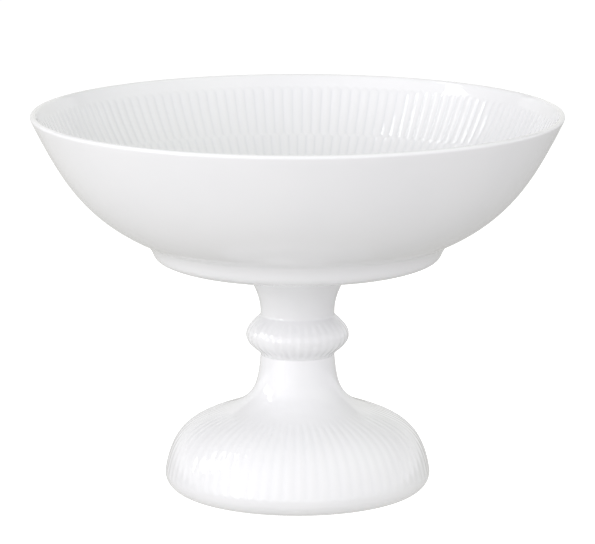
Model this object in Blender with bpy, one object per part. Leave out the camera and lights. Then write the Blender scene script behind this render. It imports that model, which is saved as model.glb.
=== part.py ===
"""Footed porcelain bowl: a deep bowl, a neck with a knop, and a domed foot, drawn together by a
threaded rod inside the pedestal and a wing nut in the hollow of the foot.

Units are metres, +Z is up, and the origin is the middle of the circle that the foot stands on.
All outlines are (radius, height) pairs that are turned around the Z axis.
"""

import math

import bmesh
import bpy

# Driving dimensions
HEIGHT = 0.1780
RIM_RADIUS = 0.1231
LIP_RADIUS = 0.0016
GAP = 0.0003

# Bowl
BOWL_FLOOR_TOP = 0.1180
BOWL_FLOOR_RADIUS = 0.0360
BOWL_UNDERSIDE = 0.1126
RING_BOTTOM = 0.1080
RING_OUTER_RADIUS = 0.0698
RING_SEAT_RADIUS = 0.0598
RING_INNER_RADIUS = 0.0570
BOSS_RADIUS = 0.0095
BOSS_BOTTOM = 0.0990
SOCKET_RADIUS = 0.0066
SOCKET_TOP = 0.1138

# Neck and knop
NECK_TOP_RADIUS = 0.0270
NECK_WAIST_RADIUS = 0.0172
KNOP_RADIUS = 0.02394
KNOP_MIDDLE = 0.0736
KNOP_UPPER_CREASE = 0.0830
KNOP_LOWER_CREASE = 0.0644
NECK_BORE_RADIUS = 0.0110

# Foot
FOOT_RADIUS = 0.0618
FOOT_WIDEST = 0.0086
FOOT_RIM_OUTER_RADIUS = 0.0525
FOOT_RIM_INNER_RADIUS = 0.0495
STEM_RADIUS = 0.01715
STEM_BORE_RADIUS = 0.0100
WEB_TOP = 0.0500
WEB_BOTTOM = 0.0440
WEB_RADIUS = 0.0170
ROD_HOLE_RADIUS = 0.0042

# Socket joint between knop and stem
SPIGOT_RADIUS = 0.0146
SPIGOT_HEIGHT = 0.0040
SPIGOT_CLEARANCE = 0.0004

# Seat washers
BOWL_SEAT_THICKNESS = 0.0012
BOWL_SEAT_RADII = (0.0190, 0.0255)
KNOP_SEAT_THICKNESS = 0.0008
KNOP_SEAT_RADII = (0.0118, 0.0141)

# Rod and the hardware on it
ROD_RADIUS = 0.0030
ROD_BOTTOM = 0.0200
ROD_TOP = 0.1112
THREAD_PITCH = 0.0010
INSERT_RADIUS = 0.0052
INSERT_BORE_RADIUS = 0.0033
INSERT_TOP = 0.1118
INSERT_GROOVE_DEPTH = 0.0005
CEMENT_FLOOR = 0.0014
CUSHION_THICKNESS = 0.0016
CUSHION_RADII = (0.0036, 0.0140)
CLAMP_THICKNESS = 0.0018
CLAMP_RADII = (0.0034, 0.0125)
LOCK_THICKNESS = 0.0014
LOCK_RADII = (0.0034, 0.0058)
LOCK_SLIT_ANGLE = math.radians(14)
NUT_HEIGHT = 0.0068
NUT_TOP_RADIUS = 0.0062
NUT_BOTTOM_RADIUS = 0.0052
NUT_BORE_RADIUS = 0.0033
WING_THICKNESS = 0.0022
WING_EAR_RADIUS = 0.0044
WING_REACH = 0.0155
WING_DROP = 0.0088

# Sides of the turned pieces
BOWL_SIDES = 64
FOOT_SIDES = 56
KNOP_SIDES = 40
HARDWARE_SIDES = 24

# Materials: colour, roughness, metallic
PORCELAIN = ("porcelain", (0.86, 0.87, 0.88), 0.08, 0.0)
SEAT_RUBBER = ("seat_rubber", (0.74, 0.74, 0.72), 0.55, 0.0)
CUSHION_RUBBER = ("cushion_rubber", (0.05, 0.05, 0.05), 0.65, 0.0)
CEMENT = ("cement", (0.62, 0.60, 0.56), 0.85, 0.0)
BRASS = ("brass", (0.72, 0.53, 0.24), 0.28, 1.0)
STEEL = ("zinc_steel", (0.60, 0.61, 0.63), 0.32, 1.0)


def clear_scene():
    for thing in list(bpy.data.objects):
        bpy.data.objects.remove(thing, do_unlink=True)


def material(look):
    name, colour, roughness, metallic = look
    made = bpy.data.materials.new(name)
    made.use_nodes = True
    shader = made.node_tree.nodes["Principled BSDF"]
    shader.inputs["Base Color"].default_value = (*colour, 1.0)
    shader.inputs["Roughness"].default_value = roughness
    shader.inputs["Metallic"].default_value = metallic
    made.diffuse_color = (*colour, 1.0)
    return made


def curve(start, start_handle, end_handle, end, spans):
    """Points along a cubic Bezier curve, both ends included."""
    points = []
    for step in range(spans + 1):
        t = step / spans
        weights = ((1 - t) ** 3, 3 * t * (1 - t) ** 2, 3 * t * t * (1 - t), t ** 3)
        corners = (start, start_handle, end_handle, end)
        radius = sum(weight * corner[0] for weight, corner in zip(weights, corners))
        height = sum(weight * corner[1] for weight, corner in zip(weights, corners))
        points.append((radius, height))
    return points


def arc(centre, radius, start, end, spans):
    """Points along a circular arc; angles in degrees, 0 outwards and 90 up."""
    points = []
    for step in range(spans + 1):
        angle = math.radians(start + (end - start) * step / spans)
        points.append((centre[0] + radius * math.cos(angle), centre[1] + radius * math.sin(angle)))
    return points


def new_object(name, bm, look):
    """Turn a finished bmesh into a shaded object with its own material."""
    bmesh.ops.recalc_face_normals(bm, faces=bm.faces)
    mesh = bpy.data.meshes.new(name)
    bm.to_mesh(mesh)
    bm.free()
    mesh.shade_smooth()
    mesh.set_sharp_from_angle(angle=math.radians(35))
    made = bpy.data.objects.new(name, mesh)
    bpy.context.scene.collection.objects.link(made)
    mesh.materials.append(look)
    return made


def turned(name, outline, sides, look):
    """Spin a closed outline once around the Z axis."""
    bm = bmesh.new()
    verts = [bm.verts.new((radius, 0, height)) for radius, height in outline]
    edges = []
    for first, second in zip(verts, verts[1:] + verts[:1]):
        if first.co.x > 0 or second.co.x > 0:
            edges.append(bm.edges.new((first, second)))
    bmesh.ops.spin(bm, geom=verts + edges, cent=(0, 0, 0), axis=(0, 0, 1),
                   angle=math.tau, steps=sides, use_merge=True)
    bmesh.ops.remove_doubles(bm, verts=bm.verts, dist=1e-6)
    return new_object(name, bm, look)


def washer(name, radii, top, thickness, look):
    """A flat ring whose top face is at the given height."""
    inner, outer = radii
    edge = thickness * 0.2
    outline = [(inner, top), (outer - edge, top), (outer, top - edge), (outer, top - thickness + edge),
               (outer - edge, top - thickness), (inner, top - thickness)]
    return turned(name, outline, HARDWARE_SIDES, look)


def bowl_inside():
    """Floor and inner wall, from the middle up to the lip."""
    lip_foot = (RIM_RADIUS - 0.0028, HEIGHT - 0.0009)
    wall = curve((BOWL_FLOOR_RADIUS, BOWL_FLOOR_TOP), (0.0989, BOWL_FLOOR_TOP),
                 (0.1145, 0.1652), lip_foot, 12)
    return [(0.0, BOWL_FLOOR_TOP)] + wall


def bowl_outside():
    """Outer wall, from the lip down to the foot ring's junction."""
    return curve((RIM_RADIUS, HEIGHT - 0.0006), (0.1116, 0.1526), (0.1016, 0.1337), (0.0755, 0.1206), 10)


def bowl_lip():
    """Rounded lip between the inner and the outer wall."""
    centre = (RIM_RADIUS - LIP_RADIUS + 0.0001, HEIGHT - LIP_RADIUS)
    return arc(centre, LIP_RADIUS, 130, 50, 4)


def bowl_foot_ring():
    """Foot ring: rounded outside, flat seat, and its inner wall up to the underside."""
    outside = curve((RING_OUTER_RADIUS, 0.1173), (0.0652, 0.1120), (0.0688, 0.1106),
                    (RING_SEAT_RADIUS, RING_BOTTOM), 6)
    inside = [(RING_INNER_RADIUS + 0.0014, RING_BOTTOM), (RING_INNER_RADIUS, RING_BOTTOM + 0.0014),
              (RING_INNER_RADIUS, BOWL_UNDERSIDE - 0.0006), (RING_INNER_RADIUS - 0.0006, BOWL_UNDERSIDE)]
    return outside + inside


def bowl_boss():
    """Boss under the middle, with the blind socket for the insert."""
    fillet = arc((BOSS_RADIUS + 0.0015, BOWL_UNDERSIDE - 0.0015), 0.0015, 90, 180, 3)
    tip = [(BOSS_RADIUS, BOSS_BOTTOM + 0.0006), (BOSS_RADIUS - 0.0006, BOSS_BOTTOM)]
    socket = [(SOCKET_RADIUS, BOSS_BOTTOM), (SOCKET_RADIUS, SOCKET_TOP), (0.0, SOCKET_TOP)]
    return fillet + tip + socket


def make_bowl(look):
    outline = bowl_inside() + bowl_lip() + bowl_outside() + bowl_foot_ring() + bowl_boss()
    return turned("bowl", outline, BOWL_SIDES, look)


def make_knop(look):
    """Flared neck and knop in one casting, with a bore for the boss and the rod."""
    top = BOWL_UNDERSIDE - BOWL_SEAT_THICKNESS - 2 * GAP
    neck = curve((NECK_TOP_RADIUS, top - 0.0006), (0.0240, 0.1020), (0.0167, 0.0948),
                 (NECK_WAIST_RADIUS, KNOP_UPPER_CREASE), 8)
    upper = curve((NECK_WAIST_RADIUS, KNOP_UPPER_CREASE), (0.0220, 0.0793), (0.0240, 0.0762),
                  (KNOP_RADIUS, KNOP_MIDDLE), 6)
    lower = curve((KNOP_RADIUS, KNOP_MIDDLE), (0.0238, 0.0684), (0.0170, 0.0663),
                  (NECK_WAIST_RADIUS, KNOP_LOWER_CREASE), 6)
    rebate_radius = SPIGOT_RADIUS + SPIGOT_CLEARANCE
    rebate_top = KNOP_LOWER_CREASE - GAP + SPIGOT_HEIGHT + KNOP_SEAT_THICKNESS + 2 * GAP
    inside = [(rebate_radius, KNOP_LOWER_CREASE), (rebate_radius, rebate_top),
              (NECK_BORE_RADIUS, rebate_top), (NECK_BORE_RADIUS, top)]
    outline = [(NECK_TOP_RADIUS - 0.0006, top)] + neck + upper[1:] + lower[1:] + inside
    return turned("knop", outline, KNOP_SIDES, look)


def make_foot(look):
    """Stem and hollow domed foot in one casting, with a web that the clamp washers bear on."""
    shoulder = KNOP_LOWER_CREASE - GAP
    spigot_top = shoulder + SPIGOT_HEIGHT
    stem = curve((STEM_RADIUS, shoulder), (0.0184, 0.0512), (0.01915, 0.0448), (0.0305, 0.03985), 8)
    dome = curve((0.0305, 0.03985), (0.0459, 0.0336), (0.0583, 0.0326), (FOOT_RADIUS, FOOT_WIDEST), 9)
    edge = curve((FOOT_RADIUS, FOOT_WIDEST), (FOOT_RADIUS, 0.0018), (0.0545, 0.0),
                 (FOOT_RIM_OUTER_RADIUS, 0.0), 5)
    rim = arc((FOOT_RIM_INNER_RADIUS + 0.0008, 0.0008), 0.0008, 270, 180, 2)
    hollow = curve((FOOT_RIM_INNER_RADIUS + 0.0005, 0.0030), (0.0630, 0.0085), (0.0556, 0.0303),
                   (0.0300, 0.0352), 7)
    web = curve((0.0300, 0.0352), (0.0240, 0.0370), (0.0195, WEB_BOTTOM), (WEB_RADIUS, WEB_BOTTOM), 3)
    bore = [(ROD_HOLE_RADIUS, WEB_BOTTOM), (ROD_HOLE_RADIUS, WEB_TOP),
            (STEM_BORE_RADIUS, WEB_TOP + 0.0020), (STEM_BORE_RADIUS, spigot_top),
            (SPIGOT_RADIUS - 0.0004, spigot_top), (SPIGOT_RADIUS, spigot_top - 0.0004),
            (SPIGOT_RADIUS, shoulder)]
    outline = stem + dome[1:] + edge[1:] + rim + hollow + web[1:] + bore
    return turned("foot", outline, FOOT_SIDES, look)


def make_insert(look):
    """Brass insert with two grooves that key it into the cement."""
    groove = INSERT_RADIUS - INSERT_GROOVE_DEPTH
    outline = [(INSERT_BORE_RADIUS, BOSS_BOTTOM), (INSERT_RADIUS, BOSS_BOTTOM)]
    length = INSERT_TOP - BOSS_BOTTOM
    for middle in (BOSS_BOTTOM + length * 0.35, BOSS_BOTTOM + length * 0.65):
        outline += [(INSERT_RADIUS, middle - 0.0010), (groove, middle - 0.0006),
                    (groove, middle + 0.0006), (INSERT_RADIUS, middle + 0.0010)]
    outline += [(INSERT_RADIUS, INSERT_TOP), (INSERT_BORE_RADIUS, INSERT_TOP)]
    return turned("threaded_insert", outline, HARDWARE_SIDES, look)


def make_cement(look):
    """Cup of cement between the insert and the socket's wall."""
    outer = SOCKET_RADIUS - GAP
    inner = INSERT_RADIUS + GAP
    top = SOCKET_TOP - GAP
    ceiling = top - CEMENT_FLOOR
    outline = [(0.0, top), (outer, top), (outer, BOSS_BOTTOM + GAP), (inner, BOSS_BOTTOM + GAP),
               (inner, ceiling), (0.0, ceiling)]
    return turned("insert_cement", outline, HARDWARE_SIDES, look)


def make_rod(look):
    """Threaded rod, modelled at its outer diameter."""
    chamfer = THREAD_PITCH * 0.6
    core = ROD_RADIUS - chamfer
    outline = [(0.0, ROD_TOP), (core, ROD_TOP), (ROD_RADIUS, ROD_TOP - chamfer),
               (ROD_RADIUS, ROD_BOTTOM + chamfer), (core, ROD_BOTTOM), (0.0, ROD_BOTTOM)]
    return turned("tie_rod", outline, HARDWARE_SIDES, look)


def make_lock_washer(top, look):
    """Split spring washer: a square section swept almost once around."""
    inner, outer = LOCK_RADII
    low = top - LOCK_THICKNESS
    bm = bmesh.new()
    section = [bm.verts.new((radius, 0, height))
               for radius, height in ((inner, low), (outer, low), (outer, top), (inner, top))]
    face = bm.faces.new(section)
    bmesh.ops.spin(bm, geom=[face], cent=(0, 0, 0), axis=(0, 0, 1),
                   angle=math.tau - LOCK_SLIT_ANGLE, steps=HARDWARE_SIDES)
    return new_object("lock_washer", bm, look)


def wing_solid(side, top):
    """One wing as a flat plate: an arm that widens into a round ear."""
    root_radius = NUT_BORE_RADIUS + 0.0009
    ear = (WING_REACH - WING_EAR_RADIUS, top - WING_DROP)
    outline = [(root_radius, top - 0.0012)]
    outline += arc(ear, WING_EAR_RADIUS, 105, -110, 9)
    outline += [(root_radius, top - NUT_HEIGHT + 0.0006)]
    bm = bmesh.new()
    near = [bm.verts.new((side * radius, -WING_THICKNESS / 2, height)) for radius, height in outline]
    face = bm.faces.new(near)
    grown = bmesh.ops.extrude_face_region(bm, geom=[face])
    moved = [part for part in grown["geom"] if isinstance(part, bmesh.types.BMVert)]
    bmesh.ops.translate(bm, verts=moved, vec=(0, WING_THICKNESS, 0))
    return bm


def make_wing_nut(top, look):
    """Turned hub with two wings joined to it."""
    hub = [(NUT_BORE_RADIUS, top), (NUT_TOP_RADIUS - 0.0004, top), (NUT_TOP_RADIUS, top - 0.0004),
           (NUT_BOTTOM_RADIUS, top - NUT_HEIGHT + 0.0006), (NUT_BOTTOM_RADIUS - 0.0006, top - NUT_HEIGHT),
           (NUT_BORE_RADIUS, top - NUT_HEIGHT)]
    nut = turned("wing_nut", hub, HARDWARE_SIDES, look)
    for side in (1, -1):
        wing = new_object("wing_guide", wing_solid(side, top), look)
        wing.hide_render = True
        wing.display_type = "WIRE"
        join = nut.modifiers.new("wing", "BOOLEAN")
        join.operation = "UNION"
        join.solver = "EXACT"
        join.object = wing
    return nut


def hang_on(pivot_name, height, parent, children):
    """Put an empty on the Z axis and parent pieces to it without moving them."""
    pivot = bpy.data.objects.new(pivot_name, None)
    bpy.context.scene.collection.objects.link(pivot)
    pivot.parent = parent
    pivot.location = (0, 0, height - (parent.location.z if parent else 0.0))
    for child in children:
        child.parent = pivot
        child.location = (0, 0, -height)
    return pivot


def main():
    clear_scene()
    porcelain = material(PORCELAIN)
    seat_rubber = material(SEAT_RUBBER)
    cushion_rubber = material(CUSHION_RUBBER)
    cement = material(CEMENT)
    brass = material(BRASS)
    steel = material(STEEL)

    make_bowl(porcelain)
    make_knop(porcelain)
    make_foot(porcelain)
    washer("bowl_seat_washer", BOWL_SEAT_RADII, BOWL_UNDERSIDE - GAP, BOWL_SEAT_THICKNESS, seat_rubber)
    knop_seat_top = KNOP_LOWER_CREASE + SPIGOT_HEIGHT + KNOP_SEAT_THICKNESS
    washer("knop_seat_washer", KNOP_SEAT_RADII, knop_seat_top, KNOP_SEAT_THICKNESS, seat_rubber)

    make_insert(brass)
    make_cement(cement)
    make_rod(steel)

    cushion_top = WEB_BOTTOM - GAP
    clamp_top = cushion_top - CUSHION_THICKNESS - GAP
    lock_top = clamp_top - CLAMP_THICKNESS - GAP
    nut_top = lock_top - LOCK_THICKNESS - GAP
    washers = [washer("cushion_washer", CUSHION_RADII, cushion_top, CUSHION_THICKNESS, cushion_rubber),
               washer("clamp_washer", CLAMP_RADII, clamp_top, CLAMP_THICKNESS, steel),
               make_lock_washer(lock_top, steel)]
    stack = hang_on("washer_drop_pivot", cushion_top, None, washers)
    hang_on("nut_turn_pivot", nut_top, stack, [make_wing_nut(nut_top, brass)])


main()
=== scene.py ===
"""Looks for the footed porcelain bowl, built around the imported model.

The three castings get fine meshes with their moulded ribs, the hardware in the hollow of the foot
gets threads, cast shapes and rounded edges, and every material is procedural.

Units are metres and +Z is up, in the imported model's own frame. Outlines are (radius, height)
pairs that are turned around the Z axis, with the material on the right of the way they run.
"""

import math

import bmesh
import bpy
import numpy as np
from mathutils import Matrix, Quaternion, Vector


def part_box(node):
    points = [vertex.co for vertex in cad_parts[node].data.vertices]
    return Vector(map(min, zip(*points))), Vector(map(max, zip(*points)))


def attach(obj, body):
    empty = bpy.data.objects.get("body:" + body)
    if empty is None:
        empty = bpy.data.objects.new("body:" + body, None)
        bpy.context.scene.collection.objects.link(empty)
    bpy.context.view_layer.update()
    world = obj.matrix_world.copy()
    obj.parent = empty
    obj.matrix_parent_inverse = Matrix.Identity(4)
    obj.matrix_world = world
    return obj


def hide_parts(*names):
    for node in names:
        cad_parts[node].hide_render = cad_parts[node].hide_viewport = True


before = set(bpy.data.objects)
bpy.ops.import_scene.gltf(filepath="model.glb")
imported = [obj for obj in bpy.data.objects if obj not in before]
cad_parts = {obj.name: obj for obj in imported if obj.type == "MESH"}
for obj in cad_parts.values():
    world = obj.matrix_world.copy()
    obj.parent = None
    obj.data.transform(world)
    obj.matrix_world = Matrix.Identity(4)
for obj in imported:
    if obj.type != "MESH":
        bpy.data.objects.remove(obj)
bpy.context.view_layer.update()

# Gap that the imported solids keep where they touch
GAP = 0.0003

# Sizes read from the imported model
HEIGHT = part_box("bowl")[1].z
RIM_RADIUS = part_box("bowl")[1].x
BOSS_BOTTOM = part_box("bowl")[0].z
NECK_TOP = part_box("knop")[1].z
NECK_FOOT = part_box("knop")[0].z
SPIGOT_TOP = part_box("foot")[1].z
FOOT_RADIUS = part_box("foot")[1].x
ROD_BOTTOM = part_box("tie_rod")[0].z
ROD_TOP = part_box("tie_rod")[1].z
ROD_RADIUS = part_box("tie_rod")[1].x
NUT_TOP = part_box("wing_nut")[1].z
WING_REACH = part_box("wing_nut")[1].x

# Bowl
FLOOR_TOP = HEIGHT - 0.0600
UNDERSIDE = HEIGHT - 0.0654
OUTER_WALL_END = (0.0755, HEIGHT - 0.0574)
RING_SHOULDER = (0.0698, HEIGHT - 0.0607)
RING_BOTTOM = HEIGHT - 0.0700
RING_SEAT_RADIUS = 0.0598
RING_INNER_RADIUS = 0.0570
RING_ROUNDING = 0.0014
RECESS_FILLET = 0.0010
BOSS_RADIUS = 0.0095
BOSS_FILLET = 0.0015
BOSS_ROUNDING = 0.0006
SOCKET_RADIUS = 0.0066
SOCKET_TOP = BOSS_BOTTOM + 0.0148
LIP_RADIUS = 0.00135
LIP_INSET = 0.00143

# Neck and knop
NECK_BORE_RADIUS = 0.0110
WAIST_RADIUS = 0.0172
KNOP_RADIUS = 0.02394
KNOP_MIDDLE = 0.0736
UPPER_CREASE = 0.0830
CREASE_ROUNDING = 0.0014
REBATE_RADIUS = 0.0150
REBATE_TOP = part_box("knop_seat_washer")[1].z + GAP

# Foot: the knop stands on its shoulder, with a hair of dark joint between them
SHOULDER = NECK_FOOT - 0.00005
STEM_BORE_RADIUS = 0.0100
SPIGOT_RADIUS = 0.0146
SPIGOT_CHAMFER = 0.0004
DOME_TOP = (0.0305, 0.03985)
FOOT_WIDEST = 0.0086
FOOT_RIM_RADII = (0.0503, 0.0525)
FOOT_RIM_ROUNDING = 0.0008
HOLLOW_TOP = (0.0300, 0.0352)
WEB_BOTTOM = 0.0440
WEB_TOP = 0.0500
ROD_HOLE_RADIUS = 0.0042
BARE_HEIGHT = 0.0007

# Ribs inside the bowl: two bands with the same count, half a rib apart, whose ends interlock.
# Their depth is a share of their pitch.
BOWL_RIBS = 154
BOWL_RIB_COLUMNS = 8
BOWL_RIB_FULLNESS = 1.7
BOWL_RIB_DEPTH = 0.070
UPPER_BAND_TOP = 0.1729
UPPER_ARCH_START = 0.1696
BAND_MEETING = 0.1508
BAND_OVERLAP = 0.0010
LOWER_BAND_END_RADIUS = 0.0460

# Ribs on the knop and the foot, which rise out of the plain glaze over a short stretch
KNOP_RIBS = 35
KNOP_RIB_COLUMNS = 12
KNOP_RIB_DEPTH = 0.00019
KNOP_RIB_RISE = 0.0026
KNOP_RIB_FADE = 0.0030
KNOP_RIB_FADE_SHARE = 0.4
FOOT_RIBS = 71
FOOT_RIB_COLUMNS = 10
FOOT_RIB_DEPTH = 0.00015
FOOT_RIB_RISE = 0.0120
FOOT_RIB_TIP = 0.0076

# How narrowly the painted shade keeps to the grooves, and how much less of it there is on the shallower
# ribs
GROOVE_SHADE_WIDTH = 2.0
KNOP_GROOVE_SHADE = 0.2
FOOT_GROOVE_SHADE = 0.35

# Hardware in the hollow of the foot. The knots are the thread's corners over one pitch: how far
# along it they are, and how deep, both as shares.
THREAD_PITCH = 0.0010
THREAD_DEPTH = 0.0006
THREAD_KNOTS = ((0.0, 0.0), (0.125, 0.0), (0.4375, 1.0), (0.6875, 1.0))
THREAD_COLUMNS = 24
WASHER_ROUNDING = 0.00025
LOCK_SLIT = 14
LOCK_SPREAD = 0.0001
LOCK_SECTIONS = 60
NUT_BORE_RADIUS = 0.0033
NUT_TOP_RADIUS = 0.0062
NUT_BOTTOM_RADIUS = 0.0052
NUT_HEIGHT = 0.0068
NUT_CHAMFER = 0.0004
WING_THICKNESS = 0.0022
WING_EAR_RADIUS = 0.0044
WING_DROP = 0.0088
CAST_VOXEL = 0.00022


# Outlines -------------------------------------------------------------------------------------

def curve(start, start_handle, end_handle, end, spans):
    """Points along a cubic Bezier curve, both ends included."""
    t = np.linspace(0.0, 1.0, spans + 1)[:, None]
    corners = [np.array(corner) for corner in (start, start_handle, end_handle, end)]
    return ((1 - t) ** 3 * corners[0] + 3 * t * (1 - t) ** 2 * corners[1]
            + 3 * t ** 2 * (1 - t) * corners[2] + t ** 3 * corners[3])


def arc(centre, radius, start, end, spans):
    """Points along a circular arc; angles in degrees, 0 outwards and 90 up."""
    angle = np.radians(np.linspace(start, end, spans + 1))
    return np.column_stack((centre[0] + radius * np.cos(angle), centre[1] + radius * np.sin(angle)))


class Outline:
    """A smooth outline that is read by the distance along it."""

    def __init__(self, points):
        self.points = np.asarray(points)
        steps = np.hypot(*np.diff(self.points, axis=0).T)
        self.distance = np.concatenate(([0.0], np.cumsum(steps)))
        self.length = self.distance[-1]

    def at(self, distance):
        """The point at a distance, and the direction out of the material there."""
        step = self.length * 1e-3
        here, before, after = (
            np.array([np.interp(where, self.distance, self.points[:, axis]) for axis in (0, 1)])
            for where in (distance, distance - step, distance + step))
        along = after - before
        along /= np.hypot(*along)
        return here, np.array((-along[1], along[0]))

    def where_height(self, height):
        """The distance at which a rising or falling outline reaches a height."""
        order = np.argsort(self.points[:, 1])
        return float(np.interp(height, self.points[order, 1], self.distance[order]))

    def where_radius(self, radius):
        """The distance at which a widening or narrowing outline reaches a radius."""
        order = np.argsort(self.points[:, 0])
        return float(np.interp(radius, self.points[order, 0], self.distance[order]))


# Turned meshes --------------------------------------------------------------------------------

def ring(point, columns, relief=0.0, normal=(0.0, 0.0)):
    """A circle of points around Z, each moved along the normal by the relief."""
    angles = np.arange(columns) * (math.tau / columns)
    relief = np.broadcast_to(relief, columns)
    radius = point[0] + relief * normal[0]
    height = point[1] + relief * normal[1]
    return np.column_stack((radius * np.cos(angles), radius * np.sin(angles), height))


def rings(points, columns):
    """Plain circles at each point of an outline."""
    return [ring(point, columns) for point in points]


def strip(first, first_count, second, second_count):
    """Faces between two rings. One may have a whole number of times more points than the other."""
    count = min(first_count, second_count)
    first_step, second_step = first_count // count, second_count // count
    faces = []
    for index in range(count):
        upper = [first + (index * first_step + step) % first_count for step in range(first_step + 1)]
        lower = [second + (index * second_step + step) % second_count
                 for step in range(second_step + 1)]
        faces.append([upper[0], *lower, *reversed(upper[1:])])
    return faces


def turned(name, all_rings, closed, grooves=()):
    """One mesh over a list of rings, joined end to end or filled at both ends. The painted shade in
    the grooves is kept with the points: grooves holds it for some of the rings, by their place."""
    starts = np.concatenate(([0], np.cumsum([len(points) for points in all_rings]))).tolist()
    faces = []
    for index in range(len(all_rings) if closed else len(all_rings) - 1):
        following = (index + 1) % len(all_rings)
        faces += strip(starts[index], len(all_rings[index]), starts[following], len(all_rings[following]))
    if not closed:
        faces.append(list(range(len(all_rings[0]))))
        faces.append(list(range(starts[-2], starts[-1]))[::-1])
    piece = new_piece(name, np.vstack(all_rings), faces)
    groove_shade = np.zeros(starts[-1])
    for index, depth in grooves:
        groove_shade[starts[index]:starts[index] + len(depth)] = depth
    piece.data.attributes.new("painted_groove_shade", "FLOAT", "POINT").data.foreach_set("value", groove_shade)
    return piece


def new_piece(name, points, faces, sharp_angle=45):
    """A smooth piece with sharp creases, from points and faces."""
    mesh = bpy.data.meshes.new(name)
    mesh.from_pydata([tuple(point) for point in points], [], faces)
    mesh.validate()
    mesh.shade_smooth()
    mesh.set_sharp_from_angle(angle=math.radians(sharp_angle))
    piece = bpy.data.objects.new(name, mesh)
    bpy.context.scene.collection.objects.link(piece)
    return piece


def piece_from(name, bm, sharp_angle):
    """A smooth piece with sharp creases, from a bmesh."""
    mesh = bpy.data.meshes.new(name)
    bm.to_mesh(mesh)
    bm.free()
    mesh.shade_smooth()
    mesh.set_sharp_from_angle(angle=math.radians(sharp_angle))
    piece = bpy.data.objects.new(name, mesh)
    bpy.context.scene.collection.objects.link(piece)
    return piece


def finished(piece, looks, body, slot, *nodes):
    """Give a piece its materials and its place in the frame."""
    for look in looks:
        piece.data.materials.append(look)
    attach(piece, body)
    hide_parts(*nodes)
    return piece


# Ribs -----------------------------------------------------------------------------------------

def across_rib(columns, per_rib, shift=0.0):
    """Where each column lies across its rib: 0 on the crest, -1 and 1 in the valleys."""
    return ((np.arange(columns) / per_rib + shift) % 1.0) * 2.0 - 1.0


def rib(across, past_end=0.0, fullness=1.0):
    """Height, 0 to 1, of a soft rib with rounded ends. past_end runs from 0 to 1 over an end."""
    reach = np.clip(np.hypot(across, max(past_end, 0.0)), 0.0, 1.0)
    return (0.5 + 0.5 * np.cos(math.pi * reach)) ** (1.0 / fullness)


def eased(value, low, high):
    """0 below low, 1 above high, and smooth between them."""
    share = min(max((value - low) / (high - low), 0.0), 1.0)
    return share * share * (3.0 - 2.0 * share)


# Bowl -----------------------------------------------------------------------------------------

def bowl_wall():
    """The inner wall, from the edge of the floor to the lip."""
    return Outline(curve((0.0360, FLOOR_TOP), (0.0989, FLOOR_TOP), (0.1145, HEIGHT - 0.0128),
                         (RIM_RADIUS - 0.0028, HEIGHT - 0.0009), 400))


def band_height(distance, across, low, low_end, high, high_end):
    """A band of ribs between two distances, whose rounded ends have the given lengths."""
    past_end = max((distance - (high - high_end)) / high_end, (low + low_end - distance) / low_end)
    return rib(across, past_end, BOWL_RIB_FULLNESS)


def bowl_inner_rings(wall):
    """The ribbed wall, from the floor outwards to the plain band under the lip."""
    columns = BOWL_RIBS * BOWL_RIB_COLUMNS
    upper_across = across_rib(columns, BOWL_RIB_COLUMNS)
    lower_across = across_rib(columns, BOWL_RIB_COLUMNS, 0.5)

    lower_low = wall.where_radius(LOWER_BAND_END_RADIUS)
    upper_low = wall.where_height(BAND_MEETING - BAND_OVERLAP)
    lower_high = wall.where_height(BAND_MEETING + BAND_OVERLAP)
    upper_high = wall.where_height(UPPER_BAND_TOP)
    arch = upper_high - wall.where_height(UPPER_ARCH_START)
    half_pitch_low = math.pi * LOWER_BAND_END_RADIUS / BOWL_RIBS
    half_pitch_meeting = math.pi * wall.at(upper_low)[0][0] / BOWL_RIBS

    past_low, past_high = 0.0003, 0.0002
    distances = np.concatenate((
        np.linspace(lower_low - past_low, lower_low + 2 * half_pitch_low, 7)[:-1],
        np.linspace(lower_low + 2 * half_pitch_low, upper_low - half_pitch_meeting, 14)[:-1],
        np.linspace(upper_low - half_pitch_meeting, lower_high + half_pitch_meeting, 16)[:-1],
        np.linspace(lower_high + half_pitch_meeting, upper_high - arch, 7)[:-1],
        np.linspace(upper_high - arch, upper_high + past_high, 12),
    ))
    made, grooves = [], []
    for distance in distances:
        point, normal = wall.at(distance)
        upper = band_height(distance, upper_across, upper_low, half_pitch_meeting, upper_high, arch)
        lower = band_height(distance, lower_across, lower_low, half_pitch_low,
                            lower_high, half_pitch_meeting)
        height = np.maximum(upper, lower)
        depth = BOWL_RIB_DEPTH * math.tau * point[0] / BOWL_RIBS
        made.append(ring(point, columns, depth * height, normal))
        # Painted shade in the grooves between the ribs, fading out over the ends of the bands
        share = eased(upper_high - distance, 0.0, arch) * eased(distance - lower_low, 0.0, half_pitch_low)
        grooves.append(share * (1.0 - height) ** GROOVE_SHADE_WIDTH)
    return made, grooves, distances[0], distances[-1]


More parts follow.
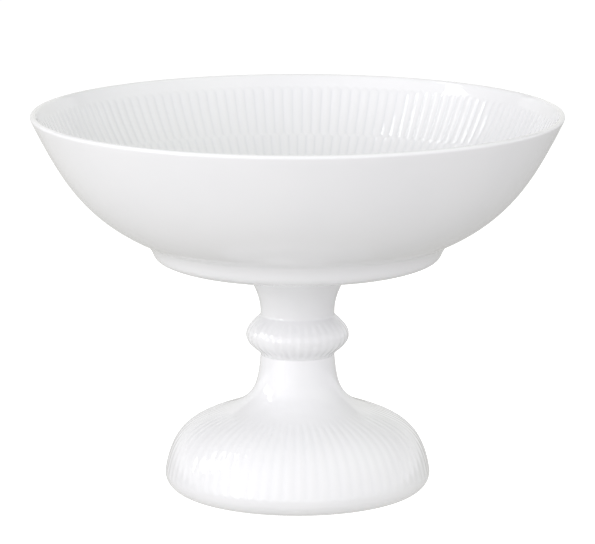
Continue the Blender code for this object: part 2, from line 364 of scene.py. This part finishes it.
def make_bowl(looks):
    """One casting: ribbed inside, rounded lip, plain outside, foot ring and boss with its socket."""
    plain = 2 * BOWL_RIBS
    coarse = BOWL_RIBS // 2
    wall = bowl_wall()
    ribbed, grooves, ribs_low, ribs_high = bowl_inner_rings(wall)
    before_ribs, after_ribs = ribs_low - 0.0006, ribs_high + 0.0004
    floor_edge = [wall.at(distance)[0] for distance in np.linspace(0.0, before_ribs, 5)]
    upper_plain = [wall.at(distance)[0] for distance in np.linspace(after_ribs, wall.length, 5)]
    lip = arc((RIM_RADIUS - LIP_INSET, HEIGHT - LIP_RADIUS), LIP_RADIUS, 141, -25, 16)
    outer = Outline(curve((RIM_RADIUS + 0.0004, HEIGHT - 0.0006), (0.1116, HEIGHT - 0.0254),
                          (0.1016, HEIGHT - 0.0443), OUTER_WALL_END, 300))
    outer_start = outer.where_height(lip[-1][1])
    outside = [outer.at(distance)[0] for distance in np.linspace(outer_start, outer.length, 28)]
    crease = curve(OUTER_WALL_END, (0.0722, HEIGHT - 0.0590),
                   (0.0705, HEIGHT - 0.0597), RING_SHOULDER, 5)
    foot_ring = curve(RING_SHOULDER, (0.0652, HEIGHT - 0.0660),
                      (0.0688, HEIGHT - 0.0674), (RING_SEAT_RADIUS, RING_BOTTOM), 16)
    seat_inner = RING_INNER_RADIUS + RING_ROUNDING
    seat = [(RING_SEAT_RADIUS - 0.0008, RING_BOTTOM), (seat_inner, RING_BOTTOM)]
    ring_inside = arc((seat_inner, RING_BOTTOM + RING_ROUNDING), RING_ROUNDING, 270, 180, 5)[1:]
    recess = arc((RING_INNER_RADIUS - RECESS_FILLET, UNDERSIDE - RECESS_FILLET), RECESS_FILLET, 0, 90, 4)
    fillet = arc((BOSS_RADIUS + BOSS_FILLET, UNDERSIDE - BOSS_FILLET), BOSS_FILLET, 90, 180, 5)
    tip = arc((BOSS_RADIUS - BOSS_ROUNDING, BOSS_BOTTOM + BOSS_ROUNDING), BOSS_ROUNDING, 0, -90, 3)
    socket = [(SOCKET_RADIUS, BOSS_BOTTOM), (SOCKET_RADIUS, SOCKET_TOP), (0.0020, SOCKET_TOP)]

    all_rings = rings([(0.0060, FLOOR_TOP), (0.0220, FLOOR_TOP)], coarse)
    all_rings += rings(floor_edge, plain) + ribbed + rings(upper_plain, plain)
    all_rings += rings(lip, plain) + rings(outside[1:], plain) + rings(crease[1:], plain)
    all_rings += rings(foot_ring[1:], plain) + rings(seat, plain) + rings(ring_inside, plain)
    all_rings += rings(recess, plain) + rings([(0.0300, UNDERSIDE)], coarse)
    all_rings += rings(fillet, coarse) + rings(tip, coarse) + rings(socket, coarse)
    bowl = turned("ribbed_bowl", all_rings, closed=False, grooves=enumerate(grooves, 2 + len(floor_edge)))
    return finished(bowl, looks, "stand", "porcelain", "bowl")


# Neck with its knop ---------------------------------------------------------------------------

def make_knop(looks):
    """Neck and knop in one casting: plain above the crease, ribbed below it, and bored through."""
    fine = KNOP_RIBS * KNOP_RIB_COLUMNS
    plain = KNOP_RIBS * 3
    neck = curve((0.0270, NECK_TOP - 0.0006), (0.0240, NECK_TOP - 0.0088),
                 (0.0171, NECK_TOP - 0.0160), (WAIST_RADIUS, UPPER_CREASE + CREASE_ROUNDING), 20)
    upper = curve((WAIST_RADIUS, UPPER_CREASE), (0.0220, 0.0793), (0.0240, 0.0762),
                  (KNOP_RADIUS, KNOP_MIDDLE), 200)
    lower = curve((KNOP_RADIUS, KNOP_MIDDLE), (0.0238, 0.0684), (0.0170, 0.0663),
                  (WAIST_RADIUS, NECK_FOOT), 200)
    swell = Outline(np.vstack((upper, lower[1:])))

    corner = (WAIST_RADIUS, UPPER_CREASE)
    crease = curve(neck[-1], corner, corner, swell.at(CREASE_ROUNDING)[0], 6)
    valley = 1.0 - rib(across_rib(fine, KNOP_RIB_COLUMNS))
    ribbed, grooves = [], []
    for distance in np.linspace(CREASE_ROUNDING + 0.0002, swell.length, 28):
        point, normal = swell.at(distance)
        share = eased(distance, CREASE_ROUNDING, CREASE_ROUNDING + KNOP_RIB_RISE)
        fading = eased(distance, swell.length - KNOP_RIB_FADE, swell.length)
        share *= 1.0 - KNOP_RIB_FADE_SHARE * fading
        ribbed.append(ring(point, fine, -KNOP_RIB_DEPTH * share * valley, normal))
        # Painted shade in the knop's grooves
        grooves.append(KNOP_GROOVE_SHADE * share * valley ** GROOVE_SHADE_WIDTH)

    inside = [(WAIST_RADIUS - 0.0004, NECK_FOOT), (REBATE_RADIUS + 0.0003, NECK_FOOT),
              (REBATE_RADIUS, NECK_FOOT + 0.0003), (REBATE_RADIUS, REBATE_TOP),
              (NECK_BORE_RADIUS, REBATE_TOP), (NECK_BORE_RADIUS, NECK_TOP),
              (0.0264, NECK_TOP)]
    all_rings = rings(neck[:-1], plain) + rings(crease, plain) + ribbed + rings(inside, plain)
    knop = turned("ribbed_knop", all_rings, closed=True,
                  grooves=enumerate(grooves, len(neck) - 1 + len(crease)))
    return finished(knop, looks, "stand", "porcelain", "knop")


# Foot -----------------------------------------------------------------------------------------

def make_foot(looks):
    """Stem and hollow ribbed dome in one casting, with a web for the washers and a bare rim."""
    fine = FOOT_RIBS * FOOT_RIB_COLUMNS
    plain = FOOT_RIBS * 2
    stem = curve((0.01718, SHOULDER), (0.0184, 0.0512), (0.01915, 0.0448), DOME_TOP, 24)
    dome = curve(DOME_TOP, (0.0459, 0.0336), (0.0583, 0.0326), (FOOT_RADIUS, FOOT_WIDEST), 300)
    edge = curve((FOOT_RADIUS, FOOT_WIDEST), (FOOT_RADIUS, 0.0018), (0.0545, 0.0),
                 (FOOT_RIM_RADII[1], 0.0), 100)
    rim = arc((FOOT_RIM_RADII[0], FOOT_RIM_ROUNDING), FOOT_RIM_ROUNDING, 270, 180, 4)
    hollow = curve((0.0500, 0.0030), (0.0630, 0.0085), (0.0556, 0.0303), HOLLOW_TOP, 24)
    web = curve(HOLLOW_TOP, (0.0240, 0.0370), (0.0195, WEB_BOTTOM), (0.0170, WEB_BOTTOM), 10)

    outer = Outline(np.vstack((dome, edge[1:])))
    tip = outer.where_height(FOOT_RIB_TIP)
    below_ribs = [outer.at(distance)[0] for distance in np.linspace(tip + 0.0006, outer.length, 12)]
    end_length = math.pi * FOOT_RADIUS / FOOT_RIBS
    across = across_rib(fine, FOOT_RIB_COLUMNS)
    ribbed, grooves = [], []
    for distance in np.concatenate((np.linspace(0.0006, tip - 1.5 * end_length, 26)[:-1],
                                    np.linspace(tip - 1.5 * end_length, tip + 0.0002, 9))):
        point, normal = outer.at(distance)
        past_end = (distance - tip + end_length) / end_length
        height = rib(across, past_end)
        share = eased(distance, 0.0, FOOT_RIB_RISE)
        inside_tip = eased(tip - distance, 0.0, end_length)
        ribbed.append(ring(point, fine, FOOT_RIB_DEPTH * share * (height - 0.5 * inside_tip), normal))
        # Painted shade in the foot's grooves, fading out towards the ribs' lower ends
        grooves.append(FOOT_GROOVE_SHADE * share * inside_tip * (1.0 - height) ** GROOVE_SHADE_WIDTH)

    bore = [(ROD_HOLE_RADIUS, WEB_BOTTOM), (ROD_HOLE_RADIUS, WEB_TOP),
            (STEM_BORE_RADIUS, WEB_TOP + 0.0020), (STEM_BORE_RADIUS, SPIGOT_TOP),
            (SPIGOT_RADIUS - SPIGOT_CHAMFER, SPIGOT_TOP), (SPIGOT_RADIUS, SPIGOT_TOP - SPIGOT_CHAMFER),
            (SPIGOT_RADIUS, SHOULDER)]
    all_rings = rings(stem[:-1], plain) + ribbed + rings(below_ribs, plain)
    all_rings += rings(rim, plain) + rings(hollow, plain) + rings(web[1:], plain)
    all_rings += rings(bore, plain)
    foot = turned("ribbed_foot", all_rings, closed=True, grooves=enumerate(grooves, len(stem) - 1))
    for face in foot.data.polygons:
        if max(foot.data.vertices[index].co.z for index in face.vertices) < BARE_HEIGHT:
            face.material_index = 1
    return finished(foot, looks, "stand", "porcelain", "foot")


# Hardware -------------------------------------------------------------------------------------

def make_rod(looks):
    """Rod with a right-hand thread along its whole length and a chamfer at each end."""
    turns = int((ROD_TOP - ROD_BOTTOM) / THREAD_PITCH) + 4
    start = ROD_BOTTOM - 1.5 * THREAD_PITCH
    core = ROD_RADIUS - THREAD_DEPTH
    bm = bmesh.new()
    rows = []
    for turn in range(turns):
        for rise, depth in THREAD_KNOTS:
            row = []
            for column in range(THREAD_COLUMNS):
                height = start + THREAD_PITCH * (turn + rise + column / THREAD_COLUMNS)
                height = min(max(height, ROD_BOTTOM), ROD_TOP)
                from_end = min(height - ROD_BOTTOM, ROD_TOP - height)
                radius = min(ROD_RADIUS - THREAD_DEPTH * depth, core + from_end)
                angle = math.tau * column / THREAD_COLUMNS
                row.append(bm.verts.new((radius * math.cos(angle), radius * math.sin(angle), height)))
            rows.append(row)
    climb = len(THREAD_KNOTS)
    for index in range(len(rows) - 1):
        for column in range(THREAD_COLUMNS - 1):
            bm.faces.new((rows[index][column], rows[index][column + 1],
                          rows[index + 1][column + 1], rows[index + 1][column]))
        if index + climb + 1 < len(rows):
            bm.faces.new((rows[index][-1], rows[index + climb][0],
                          rows[index + climb + 1][0], rows[index + 1][-1]))
    bmesh.ops.remove_doubles(bm, verts=bm.verts, dist=1e-6)
    bmesh.ops.holes_fill(bm, edges=[edge for edge in bm.edges if edge.is_boundary], sides=0)
    bmesh.ops.recalc_face_normals(bm, faces=bm.faces)
    rod = piece_from("threaded_rod", bm, 30)
    return finished(rod, looks, "stand", "zinc_steel", "tie_rod")


def rounded_section(inner, outer, low, high, edge):
    """Corners of a ring's cross-section with rounded edges, the way turned() wants them."""
    corners = [arc((outer - edge, high - edge), edge, 90, 0, 3),
               arc((outer - edge, low + edge), edge, 0, -90, 3),
               arc((inner + edge, low + edge), edge, -90, -180, 3),
               arc((inner + edge, high - edge), edge, 180, 90, 3)]
    return np.vstack(corners)


def hole_radius(node):
    """The radius of the hole through a packed washer."""
    return min(math.hypot(point.co.x, point.co.y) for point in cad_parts[node].data.vertices)


def make_washer(name, node, looks, slot, sides=72):
    """A flat ring with rounded edges in the place of a packed washer."""
    low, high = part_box(node)
    section = rounded_section(hole_radius(node), high.x, low.z, high.z, WASHER_ROUNDING)
    washer = turned(name, rings(section, sides), closed=True)
    return finished(washer, looks, "washers", slot, node)


def make_lock_washer(looks):
    """Split spring washer pressed nearly flat, so that its two ends still stand a little apart."""
    low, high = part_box("lock_washer")
    section = rounded_section(hole_radius("lock_washer"), high.x, low.z + LOCK_SPREAD,
                              high.z - LOCK_SPREAD, WASHER_ROUNDING)
    bm = bmesh.new()
    loops = []
    for index in range(LOCK_SECTIONS + 1):
        share = index / LOCK_SECTIONS
        angle = math.radians(360 - LOCK_SLIT) * share
        lift = LOCK_SPREAD * (2 * share - 1)
        loops.append([bm.verts.new((radius * math.cos(angle), radius * math.sin(angle), height + lift))
                      for radius, height in section])
    count = len(section)
    for first, second in zip(loops, loops[1:]):
        for corner in range(count):
            bm.faces.new((first[corner], first[(corner + 1) % count],
                          second[(corner + 1) % count], second[corner]))
    bm.faces.new(loops[0])
    bm.faces.new(loops[-1])
    bmesh.ops.recalc_face_normals(bm, faces=bm.faces)
    washer = piece_from("split_spring_washer", bm, 50)
    return finished(washer, looks, "washers", "zinc_steel", "lock_washer")


def add_plate(bm, outline, thickness):
    """An upright plate in the XZ plane."""
    sides = [[bm.verts.new((x, y, z)) for x, z in outline] for y in (-thickness / 2, thickness / 2)]
    bm.faces.new(sides[0])
    bm.faces.new(sides[1])
    count = len(outline)
    for corner in range(count):
        bm.faces.new((sides[0][corner], sides[0][(corner + 1) % count],
                      sides[1][(corner + 1) % count], sides[1][corner]))


def make_wing_nut(looks):
    """Cast wing nut: hub and wings melted into one form with soft fillets."""
    bottom = NUT_TOP - NUT_HEIGHT
    hub = [(NUT_BORE_RADIUS, NUT_TOP), (NUT_TOP_RADIUS - NUT_CHAMFER, NUT_TOP),
           (NUT_TOP_RADIUS, NUT_TOP - NUT_CHAMFER), (NUT_TOP_RADIUS - 0.0001, NUT_TOP - 0.0014),
           (NUT_BOTTOM_RADIUS, bottom + 0.0006), (NUT_BOTTOM_RADIUS - 0.0006, bottom),
           (NUT_BORE_RADIUS + NUT_CHAMFER, bottom), (NUT_BORE_RADIUS, bottom + NUT_CHAMFER)]
    nut = turned("cast_wing_nut", rings(hub, 64), closed=True)
    bm = bmesh.new()
    bm.from_mesh(nut.data)
    ear = (WING_REACH - WING_EAR_RADIUS, NUT_TOP - WING_DROP)
    root = NUT_BORE_RADIUS + 0.0009
    wing = [(root, NUT_TOP - 0.0012), *arc(ear, WING_EAR_RADIUS, 105, -110, 30), (root, bottom + 0.0006)]
    for side in (1, -1):
        add_plate(bm, [(side * x, z) for x, z in wing], WING_THICKNESS)
    bmesh.ops.recalc_face_normals(bm, faces=bm.faces)
    bm.to_mesh(nut.data)
    bm.free()
    melt = nut.modifiers.new("melt", "REMESH")
    melt.mode = "VOXEL"
    melt.voxel_size = CAST_VOXEL
    melt.use_smooth_shade = True
    soften = nut.modifiers.new("soften", "SMOOTH")
    soften.factor = 0.5
    soften.iterations = 5
    shapes = bpy.context.evaluated_depsgraph_get()
    nut.data = bpy.data.meshes.new_from_object(nut.evaluated_get(shapes), depsgraph=shapes)
    nut.modifiers.clear()
    return finished(nut, looks, "nut", "brass", "wing_nut")


# Materials ------------------------------------------------------------------------------------

class Look:
    """A Principled material with short calls for the nodes that it is made of."""

    def __init__(self, name, **values):
        self.material = bpy.data.materials.new(name)
        self.material.use_nodes = True
        self.tree = self.material.node_tree
        self.shader = self.tree.nodes["Principled BSDF"]
        for socket, value in values.items():
            self.shader.inputs[socket.replace("_", " ")].default_value = value
        self.place = self.tree.nodes.new("ShaderNodeTexCoord").outputs["Object"]

    def node(self, kind, inputs=None, **settings):
        return add_node(self.tree, kind, inputs, **settings)

    def noise(self, scale, detail=2.0, roughness=0.5):
        inputs = {"Vector": self.place, "Scale": scale, "Detail": detail, "Roughness": roughness}
        return self.node("ShaderNodeTexNoise", inputs).outputs["Fac"]

    def ramp(self, value, low, high, low_to=0.0, high_to=1.0):
        inputs = {"Value": value, "From Min": low, "From Max": high, "To Min": low_to, "To Max": high_to}
        return self.node("ShaderNodeMapRange", inputs).outputs["Result"]

    def mixed(self, share, first, second):
        made = self.node("ShaderNodeMix", data_type="RGBA")
        for socket, value in ((made.inputs[0], share), (made.inputs[6], first), (made.inputs[7], second)):
            if isinstance(value, bpy.types.NodeSocket):
                self.tree.links.new(value, socket)
            else:
                socket.default_value = value
        return made.outputs[2]

    def bump(self, height, distance, strength=1.0, under=None):
        inputs = {"Height": height, "Distance": distance, "Strength": strength}
        if under is not None:
            inputs["Normal"] = under
        return self.node("ShaderNodeBump", inputs).outputs["Normal"]

    def link(self, output, socket):
        self.tree.links.new(output, self.shader.inputs[socket])


def glaze_look():
    """Hard white porcelain under a clear, glossy glaze with a faint ripple and a few pinholes."""
    look = Look("glazed_porcelain", Roughness=0.07, IOR=1.5)
    tone = look.ramp(look.noise(28.0, 3.0), 0.35, 0.65)
    body = look.mixed(tone, (0.855, 0.860, 0.872, 1.0), (0.870, 0.874, 0.884, 1.0))
    cells = look.node("ShaderNodeTexVoronoi", {"Vector": look.place, "Scale": 95.0})
    pick = look.node("ShaderNodeSeparateColor", {"Color": cells.outputs["Color"]}).outputs["Red"]
    near = look.ramp(cells.outputs["Distance"], 0.030, 0.045, 1.0, 0.0)
    chosen = look.ramp(pick, 0.986, 0.988)
    speck = look.node("ShaderNodeMath", {0: near, 1: chosen}, operation="MULTIPLY").outputs[0]
    # Painted shade in the grooves of the ribs: the colour darkens and cools towards this where the grooves
    # are
    groove_shade = look.node("ShaderNodeAttribute", attribute_name="painted_groove_shade").outputs["Fac"]
    body = look.mixed(groove_shade, body, (0.808, 0.816, 0.834, 1.0))
    look.link(look.mixed(speck, body, (0.60, 0.59, 0.57, 1.0)), "Base Color")
    look.link(look.ramp(look.noise(60.0, 2.0), 0.3, 0.7, 0.02, 0.05), "Roughness")
    look.link(look.bump(look.noise(160.0, 1.0), 0.00002), "Normal")
    return look.material


def cast_brass_look():
    """Cast brass, tumbled to a satin finish, a little darker in patches."""
    look = Look("cast_brass", Metallic=1.0)
    patches = look.ramp(look.noise(220.0, 4.0, 0.6), 0.35, 0.70)
    look.link(look.mixed(patches, (0.80, 0.60, 0.28, 1.0), (0.62, 0.43, 0.17, 1.0)), "Base Color")
    look.link(look.ramp(look.noise(700.0, 3.0), 0.3, 0.7, 0.24, 0.42), "Roughness")
    coarse = look.bump(look.noise(900.0, 2.0), 0.00006, 0.7)
    look.link(look.bump(look.noise(4200.0, 2.0), 0.00001, 0.6, coarse), "Normal")
    return look.material


def zinc_look():
    """Bright zinc plating over steel, with a faint crystalline tone."""
    look = Look("bright_zinc", Metallic=1.0)
    cells = look.node("ShaderNodeTexVoronoi", {"Vector": look.place, "Scale": 1400.0})
    tone = look.node("ShaderNodeSeparateColor", {"Color": cells.outputs["Color"]}).outputs["Red"]
    look.link(look.mixed(tone, (0.58, 0.60, 0.64, 1.0), (0.70, 0.71, 0.72, 1.0)), "Base Color")
    look.link(look.ramp(look.noise(500.0, 3.0), 0.3, 0.7, 0.22, 0.40), "Roughness")
    look.link(look.bump(look.noise(2500.0, 3.0), 0.00001, 0.6), "Normal")
    return look.material


def rubber_look(name, dark, light, roughness):
    """Moulded rubber with a fine matt grain and a trace of dust."""
    look = Look(name, IOR=1.45)
    dust = look.ramp(look.noise(350.0, 4.0, 0.6), 0.40, 0.75)
    look.link(look.mixed(dust, dark, light), "Base Color")
    look.link(look.ramp(look.noise(900.0, 2.0), 0.3, 0.7, roughness - 0.08, roughness + 0.08), "Roughness")
    look.link(look.bump(look.noise(5200.0, 2.0), 0.00002, 0.6), "Normal")
    return look.material


def cement_look():
    """Set cement: sandy, with darker grains."""
    look = Look("set_cement", Roughness=0.9)
    grains = look.ramp(look.noise(2600.0, 3.0, 0.7), 0.35, 0.65)
    look.link(look.mixed(grains, (0.52, 0.50, 0.46, 1.0), (0.68, 0.66, 0.61, 1.0)), "Base Color")
    look.link(look.bump(look.noise(2200.0, 4.0, 0.7), 0.00012, 0.8), "Normal")
    return look.material


def bisque_look():
    """The unglazed ring that the foot was fired on, ground and a little warm."""
    look = Look("bare_bisque", IOR=1.45)
    tone = look.ramp(look.noise(420.0, 4.0, 0.6), 0.35, 0.70)
    look.link(look.mixed(tone, (0.76, 0.745, 0.715, 1.0), (0.83, 0.82, 0.80, 1.0)), "Base Color")
    look.link(look.ramp(look.noise(900.0, 2.0), 0.3, 0.7, 0.62, 0.82), "Roughness")
    look.link(look.bump(look.noise(3800.0, 3.0, 0.6), 0.00003, 0.7), "Normal")
    return look.material


# Studio ---------------------------------------------------------------------------------------

# Camera: focal length in millimetres, place, and how many degrees it looks down
CAMERA_LENS = 242.0
CAMERA_PLACE = (0.0, -1.8220, 0.4602)
CAMERA_LOOKS_DOWN = 11.095

# Lamps
LAMP_DISTANCE = 4.0
LAMP_AIM = (0.0, 0.0, HEIGHT * 0.45)

# Soft patches of light in the white room: azimuth, elevation, tightness, colour
PATCHES = {
    "left": (-75, 6, 2, (1.32, 1.31, 1.33)),
    "left_near": (-50, 5, 8, (0.54, 0.53, 0.50)),
    "front": (-15, 8, 2, (1.32, 1.30, 1.35)),
    "right": (75, 6, 2, (1.04, 0.99, 1.10)),
    "right_high": (75, 45, 4, (0.44, 0.50, 0.35)),
    "back_high": (180, 40, 4, (0.59, 0.58, 0.54)),
}
SHOWN_WHITE = 1.05

# White screen behind the bowl: its brightness, how steeply its lower edge climbs, and how soft
# its near edge and its lower edge are
BACKDROP = 0.7
BACKDROP_SLOPE = 0.55
BACKDROP_NEAR_EDGE = (0.10, 0.16)
BACKDROP_LOWER_EDGE = (0.0, 0.03)

# Floor: its glow everywhere, and what is added on the left, in front and around the foot
FLOOR_HALF = 1.0
FLOOR_GLOW = 0.29
FLOOR_GLOW_LEFT = 0.13
FLOOR_GLOW_FRONT = 0.02
FLOOR_GLOW_NEAR = 0.11


def toward(azimuth, elevation, distance, centre):
    """A place seen from the centre; azimuth 0 is towards the camera and 90 to the right."""
    a, e = math.radians(azimuth), math.radians(elevation)
    return Vector(centre) + distance * Vector((math.sin(a) * math.cos(e), -math.cos(a) * math.cos(e),
                                               math.sin(e)))


def softbox(name, azimuth, elevation, width, height, radiance, roll=0.0):
    """A lamp facing the bowl that shows only as a highlight, with its brightness given as radiance.
    Its width and height are the angles that they fill, in degrees, and roll lifts its near end."""
    lamp = bpy.data.lights.new(name, "AREA")
    lamp.shape = "RECTANGLE"
    lamp.size, lamp.size_y = (2.0 * LAMP_DISTANCE * math.tan(math.radians(angle) / 2)
                              for angle in (width, height))
    lamp.energy = radiance * math.pi * lamp.size * lamp.size_y
    made = bpy.data.objects.new(name, lamp)
    bpy.context.scene.collection.objects.link(made)
    made.location = toward(azimuth, elevation, LAMP_DISTANCE, LAMP_AIM)
    facing = (Vector(LAMP_AIM) - made.location).to_track_quat("-Z", "Y")
    made.rotation_euler = (facing @ Quaternion((0.0, 0.0, 1.0), math.radians(roll))).to_euler()
    made.visible_camera = False
    made.visible_diffuse = False


def add_node(tree, kind, inputs=None, **settings):
    """A node with its settings, whose inputs are given as values or as sockets to link."""
    made = tree.nodes.new(kind)
    for key, value in settings.items():
        setattr(made, key, value)
    for key, value in (inputs or {}).items():
        if isinstance(value, bpy.types.NodeSocket):
            tree.links.new(value, made.inputs[key])
        else:
            made.inputs[key].default_value = value
    return made


def make_world():
    """A white room that is lit unevenly, with a white screen behind the bowl that shows only in the
    glaze. The camera sees plain white."""
    world = bpy.data.worlds.new("white_room")
    bpy.context.scene.world = world
    world.use_nodes = True
    tree = world.node_tree
    tree.nodes.clear()
    direction = add_node(tree, "ShaderNodeTexCoord").outputs["Generated"]
    light = None
    for azimuth, elevation, tightness, colour in PATCHES.values():
        axis = toward(azimuth, elevation, 1.0, (0.0, 0.0, 0.0))
        facing = add_node(tree, "ShaderNodeVectorMath", {0: direction, 1: axis}, operation="DOT_PRODUCT")
        ahead = add_node(tree, "ShaderNodeMath", {0: facing.outputs["Value"], 1: 0.0}, operation="MAXIMUM")
        share = add_node(tree, "ShaderNodeMath", {0: ahead.outputs[0], 1: tightness}, operation="POWER")
        patch = add_node(tree, "ShaderNodeVectorMath", {0: colour, "Scale": share.outputs[0]},
                         operation="SCALE").outputs[0]
        light = patch if light is None else add_node(tree, "ShaderNodeVectorMath", {0: light, 1: patch},
                                                     operation="ADD").outputs[0]
    parts = add_node(tree, "ShaderNodeSeparateXYZ", {0: direction})
    path = add_node(tree, "ShaderNodeLightPath")
    screen = path.outputs["Is Glossy Ray"]
    under_edge = add_node(tree, "ShaderNodeVectorMath", {0: direction, 1: (0.0, BACKDROP_SLOPE, -1.0)},
                          operation="DOT_PRODUCT").outputs["Value"]
    for value, edge in ((parts.outputs["Y"], BACKDROP_NEAR_EDGE), (under_edge, BACKDROP_LOWER_EDGE)):
        inputs = {"Value": value, "From Min": edge[0], "From Max": edge[1]}
        within = add_node(tree, "ShaderNodeMapRange", inputs).outputs["Result"]
        screen = add_node(tree, "ShaderNodeMath", {0: screen, 1: within}, operation="MULTIPLY").outputs[0]
    light = add_node(tree, "ShaderNodeVectorMath", {0: (BACKDROP,) * 3, 1: screen, 2: light},
                     operation="MULTIPLY_ADD").outputs[0]
    lit = add_node(tree, "ShaderNodeBackground", {"Color": light})
    shown = add_node(tree, "ShaderNodeBackground", {"Color": (1.0, 1.0, 1.0, 1.0), "Strength": SHOWN_WHITE})
    seen = path.outputs["Is Camera Ray"]
    mix = add_node(tree, "ShaderNodeMixShader", {0: seen, 1: lit.outputs[0], 2: shown.outputs[0]})
    add_node(tree, "ShaderNodeOutputWorld", {0: mix.outputs[0]})


def make_floor():
    """A pale floor that glows softly and unevenly, and is clear when seen from below."""
    mesh = bpy.data.meshes.new("floor")
    corners = [(x * FLOOR_HALF, y * FLOOR_HALF, 0.0) for x, y in ((-1, -1), (1, -1), (1, 1), (-1, 1))]
    mesh.from_pydata(corners, [], [(0, 1, 2, 3)])
    floor = bpy.data.objects.new("floor", mesh)
    bpy.context.scene.collection.objects.link(floor)
    look = Look("pale_floor", Base_Color=(0.30, 0.30, 0.30, 1.0), Roughness=1.0, Specular_IOR_Level=0.0)
    tree = look.tree
    place = add_node(tree, "ShaderNodeSeparateXYZ", {0: look.place})
    glow = FLOOR_GLOW
    for axis, near, far, extra in (("X", 0.3, -0.3, FLOOR_GLOW_LEFT), ("Y", 0.0, -0.5, FLOOR_GLOW_FRONT)):
        more = look.ramp(place.outputs[axis], near, far, 0.0, extra)
        glow = add_node(tree, "ShaderNodeMath", {0: glow, 1: more}, operation="ADD").outputs[0]
    from_middle = add_node(tree, "ShaderNodeVectorMath", {0: look.place}, operation="LENGTH")
    more = look.ramp(from_middle.outputs["Value"], 0.085, 0.060, 0.0, FLOOR_GLOW_NEAR)
    glow = add_node(tree, "ShaderNodeMath", {0: glow, 1: more}, operation="ADD").outputs[0]
    seen = add_node(tree, "ShaderNodeLightPath").outputs["Is Camera Ray"]
    look.link(look.mixed(seen, (1.0, 0.99, 0.95, 1.0), (1.0, 1.0, 1.0, 1.0)), "Emission Color")
    look.link(add_node(tree, "ShaderNodeMix", {0: seen, 2: glow, 3: 1.0}).outputs[0], "Emission Strength")
    clear = add_node(tree, "ShaderNodeBsdfTransparent")
    below = add_node(tree, "ShaderNodeNewGeometry").outputs["Backfacing"]
    mix = add_node(tree, "ShaderNodeMixShader", {0: below, 1: look.shader.outputs[0], 2: clear.outputs[0]})
    tree.links.new(mix.outputs[0], tree.nodes["Material Output"].inputs["Surface"])
    mesh.materials.append(look.material)


def make_camera():
    """A long lens, a little above the rim."""
    data = bpy.data.cameras.new("camera")
    data.sensor_width = 36.0
    data.sensor_fit = "HORIZONTAL"
    data.lens = CAMERA_LENS
    data.clip_start, data.clip_end = 0.1, 20.0
    camera = bpy.data.objects.new("camera", data)
    bpy.context.scene.collection.objects.link(camera)
    camera.location = CAMERA_PLACE
    camera.rotation_euler = (math.radians(90.0 - CAMERA_LOOKS_DOWN), 0.0, 0.0)
    bpy.context.scene.camera = camera


def make_studio():
    make_world()
    make_floor()
    softbox("key_window", -90, 21, 29, 14, 7.0, roll=38)
    softbox("high_window", -88, 42, 7, 17, 5.0)
    softbox("side_window", -51, 2, 13, 24, 4.0)
    bpy.context.scene.view_settings.view_transform = "Standard"
    make_camera()


def recoat(node, look):
    """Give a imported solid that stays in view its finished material."""
    for material_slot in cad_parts[node].material_slots:
        material_slot.material = look


def main():
    glaze, bisque = glaze_look(), bisque_look()
    brass, zinc = cast_brass_look(), zinc_look()
    black_rubber = rubber_look("black_rubber", (0.030, 0.030, 0.031, 1.0), (0.075, 0.073, 0.070, 1.0), 0.66)
    white_rubber = rubber_look("white_rubber", (0.72, 0.72, 0.70, 1.0), (0.77, 0.77, 0.75, 1.0), 0.55)

    make_bowl([glaze])
    make_knop([glaze])
    make_foot([glaze, bisque])
    make_rod([zinc])
    make_washer("rubber_cushion_washer", "cushion_washer", [black_rubber], "cushion_rubber")
    make_washer("steel_clamp_washer", "clamp_washer", [zinc], "zinc_steel")
    make_lock_washer([zinc])
    make_wing_nut([brass])
    recoat("bowl_seat_washer", white_rubber)
    recoat("knop_seat_washer", white_rubber)
    recoat("threaded_insert", brass)
    recoat("insert_cement", cement_look())
    make_studio()


main()
